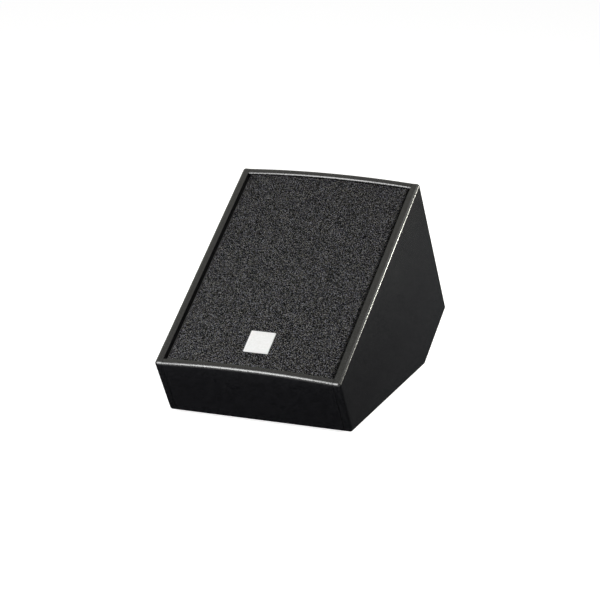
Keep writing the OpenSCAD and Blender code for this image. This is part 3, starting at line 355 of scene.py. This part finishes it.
def spaced(count, low, high):
    """Grid lines that lie closer together towards both ends, where a pad is rounded."""
    crowding = 0.28
    t = np.linspace(-1, 1, count)
    t = t * (1 - crowding) + np.sin(t * math.pi / 2) * crowding
    return (t * (high - low) / 2 + (low + high) / 2).tolist()


def rounding(distance, radius):
    """Drop of a surface at a distance from an edge that is rounded by a radius."""
    inside = radius - min(distance, radius)
    return radius - math.sqrt(max(radius * radius - inside * inside, 0))


def foam_front():
    """The foam front: bowed like the panels' edges, well rounded at its sides and less at its ends."""
    thickness = 7.5 * MM
    recess = 2.2 * MM
    side_gap = 5 * MM
    end_gap = 1.3 * MM
    side_r = 4.8 * MM
    end_r = 2.6 * MM
    roughness = 0.2 * MM
    seed = 7
    columns, rows = 150, 218
    half = HALF_IN - side_gap
    u0 = PANEL + end_gap
    u1 = CAB_LEN - PANEL - end_gap
    xs = spaced(columns, -half, half)
    us = spaced(rows, u0, u1)
    jitter = np.random.default_rng(seed).normal(0, roughness, (rows, columns)).tolist()

    def top(i, j):
        side_drop = rounding(half - abs(xs[i]), side_r)
        end_drop = rounding(min(us[j] - u0, u1 - us[j]), end_r)
        height = bow(BOW_R - recess, xs[i]) - max(side_drop, end_drop)
        return cab(xs[i], us[j], height + jitter[j][i])

    def bottom(i, j):
        return cab(xs[i], us[j], bow(BOW_R - recess - thickness, xs[i]))

    foam = pad("foam_front", columns, rows, top, bottom, "foam", "grille_foam")


def wadding_pad():
    """The wadding on the bottom panel: a loose, uneven pad."""
    inset = 2 * MM
    settle = 4 * MM
    edge_r = 12 * MM
    wave = 1.2 * MM
    lift = 0.3 * MM
    seed = 3
    smoothing = 6
    count = 60
    low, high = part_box("damping_wadding")
    xs = spaced(count, low[0] + inset, high[0] - inset)
    ys = spaced(count, low[1] + inset, high[1] - inset)
    waves = np.random.default_rng(seed).normal(0, 1, (count, count))
    for _ in range(smoothing):
        waves = sum(np.roll(waves, step, axis) for step in (-1, 1) for axis in (0, 1)) + waves
    waves = (waves / waves.std() * wave).tolist()

    def top(i, j):
        edge = min(xs[i] - xs[0], xs[-1] - xs[i], ys[j] - ys[0], ys[-1] - ys[j])
        return Vector((xs[i], ys[j], high[2] - settle - rounding(edge, edge_r) + waves[j][i]))

    def bottom(i, j):
        return Vector((xs[i], ys[j], low[2] + lift))

    wadding = pad("wadding_pad", count, count, top, bottom, "wadding", "damping_wadding")


foam_front()
wadding_pad()

# Camera: its place comes from the photograph's vanishing points and corners

AZIMUTH = math.radians(20.9414)
ELEVATION = math.radians(16.7266)
DISTANCE = 4.6933
OFFSET_RIGHT = 0.07737
OFFSET_UP = 0.23223
FOCAL_PX = 2434.25
IMAGE_PX = 600
SENSOR_MM = 36

level = math.cos(ELEVATION)
back = Vector((math.sin(AZIMUTH) * level, -math.cos(AZIMUTH) * level, math.sin(ELEVATION)))
right = Vector((math.cos(AZIMUTH), math.sin(AZIMUTH), 0))
up = back.cross(right)
stand = Vector((0, TOE_Y, FOOT_H)) + right * OFFSET_RIGHT + up * OFFSET_UP + back * DISTANCE
camera = bpy.data.objects.new("camera", bpy.data.cameras.new("camera"))
camera.data.sensor_width = SENSOR_MM
camera.data.lens = FOCAL_PX * SENSOR_MM / IMAGE_PX
camera.matrix_world = Matrix.Translation(stand) @ Matrix((right, up, back)).transposed().to_4x4()
scene.collection.objects.link(camera)
scene.camera = camera


# Surroundings

def studio_world():
    """A white backdrop to the camera and to reflections, dim as a light on the object."""
    world = bpy.data.worlds.new("studio")
    world.use_nodes = True
    tree = world.node_tree
    tree.nodes.clear()
    path = add(tree, "LightPath").outputs
    reflected = {0: path["Is Glossy Ray"], 1: path["Is Transmission Ray"]}
    mirrored = add(tree, "Math", reflected, operation="ADD")
    dim = add(tree, "Background", Color=srgb("#ffffff"), Strength=0.2)
    warm = add(tree, "Background", Color=srgb("#fffef3"), Strength=1.0)
    white = add(tree, "Background", Color=srgb("#ffffff"), Strength=1.0)
    mix = add(tree, "MixShader", {"Fac": mirrored.outputs[0], 1: dim.outputs[0], 2: warm.outputs[0]})
    mix = add(tree, "MixShader", {"Fac": path["Is Camera Ray"], 1: mix.outputs[0], 2: white.outputs[0]})
    add(tree, "OutputWorld", {"Surface": mix.outputs[0]})
    scene.world = world


def pale_floor():
    """White to the camera but for the object's shadow. In reflections it is white far away and in
    front, and grows dim close to the object: that dimming is painted shade, set by the floor's
    position, standing in for the object's shadow."""
    half_size = 9
    centre = (0, 3, 0)
    # Lengths of a reflected ray at which the floor stops being near and starts being far
    near_end = 5.0
    far_start = 5.01
    shaded_y = -0.36
    open_y = -0.52
    shaded_glow = 0.008
    open_glow = 0.8
    bm = bmesh.new()
    bmesh.ops.create_grid(bm, x_segments=1, y_segments=1, size=half_size)
    bmesh.ops.translate(bm, vec=centre, verts=bm.verts)
    mesh = bpy.data.meshes.new("floor")
    bm.to_mesh(mesh)
    bm.free()
    floor = bpy.data.objects.new("floor", mesh)
    scene.collection.objects.link(floor)

    material = bpy.data.materials.new("pale_floor")
    material.use_nodes = True
    tree = material.node_tree
    tree.nodes.clear()
    path = add(tree, "LightPath").outputs
    far = add(tree, "MapRange", {"Value": path["Ray Length"]}, From_Min=near_end, From_Max=far_start)
    spot = add(tree, "SeparateXYZ", {0: add(tree, "NewGeometry").outputs["Position"]}).outputs["Y"]
    # Painted shade: reflections of the floor are dim near the object and bright in front, by position
    ahead = add(tree, "MapRange", {"Value": spot}, From_Min=shaded_y, From_Max=open_y)
    clear = add(tree, "Math", {0: far.outputs[0], 1: ahead.outputs[0]}, operation="MAXIMUM")
    reflected = {0: path["Is Glossy Ray"], 1: path["Is Transmission Ray"]}
    mirrored = add(tree, "Math", reflected, operation="ADD")
    mirrored = add(tree, "Math", {0: mirrored.outputs[0], 1: clear.outputs[0]}, operation="MULTIPLY")
    seen = add(tree, "Math", {0: path["Is Camera Ray"], 1: mirrored.outputs[0]}, operation="ADD")
    dull = add(tree, "BsdfDiffuse", Color=srgb("#424449"))
    faint = add(tree, "Emission", Color=srgb("#ffffff"), Strength=shaded_glow)
    dim = add(tree, "AddShader", {0: dull.outputs[0], 1: faint.outputs[0]})
    lit = add(tree, "BsdfDiffuse", Color=srgb("#e6e6e6"))
    glow = add(tree, "Emission", Color=srgb("#ffffff"), Strength=open_glow)
    bright = add(tree, "AddShader", {0: lit.outputs[0], 1: glow.outputs[0]})
    mix = add(tree, "MixShader", {"Fac": seen.outputs[0], 1: dim.outputs[0], 2: bright.outputs[0]})
    add(tree, "OutputMaterial", {"Surface": mix.outputs[0]})
    mesh.materials.append(material)


def softbox(name, direction, distance, size, watts, colour="#ffffff", gloss_only=False):
    """An area light at a distance from the object's middle in a direction, facing it."""
    middle = Vector((0, 0, 0.2))
    data = bpy.data.lights.new(name, "AREA")
    data.shape = "RECTANGLE"
    data.size, data.size_y = size
    data.energy = watts
    data.color = srgb(colour)[:3]
    light = bpy.data.objects.new(name, data)
    light.visible_diffuse = not gloss_only
    away = Vector(direction).normalized()
    turn = away.to_track_quat("Z", "Y").to_matrix().to_4x4()
    light.matrix_world = Matrix.Translation(middle + away * distance) @ turn
    scene.collection.objects.link(light)


studio_world()
pale_floor()
softbox("right_rear", (0.78, 0.55, 0.27), distance=2.4, size=(0.4, 0.4), watts=62, colour="#fffef2")
softbox("top_right", (0.45, 0.20, 0.87), distance=2.2, size=(1.2, 1.2), watts=9)
softbox("front_left", (-0.31, -0.90, 0.28), distance=2.6, size=(1.2, 1.4), watts=58)
# A broad pale screen that shows only as a sheen along the front edge
softbox("front_screen", (-0.31, -0.80, 0.46), distance=2.6, size=(1.3, 2.4), watts=140,
        gloss_only=True)

scene.view_settings.view_transform = "Standard"
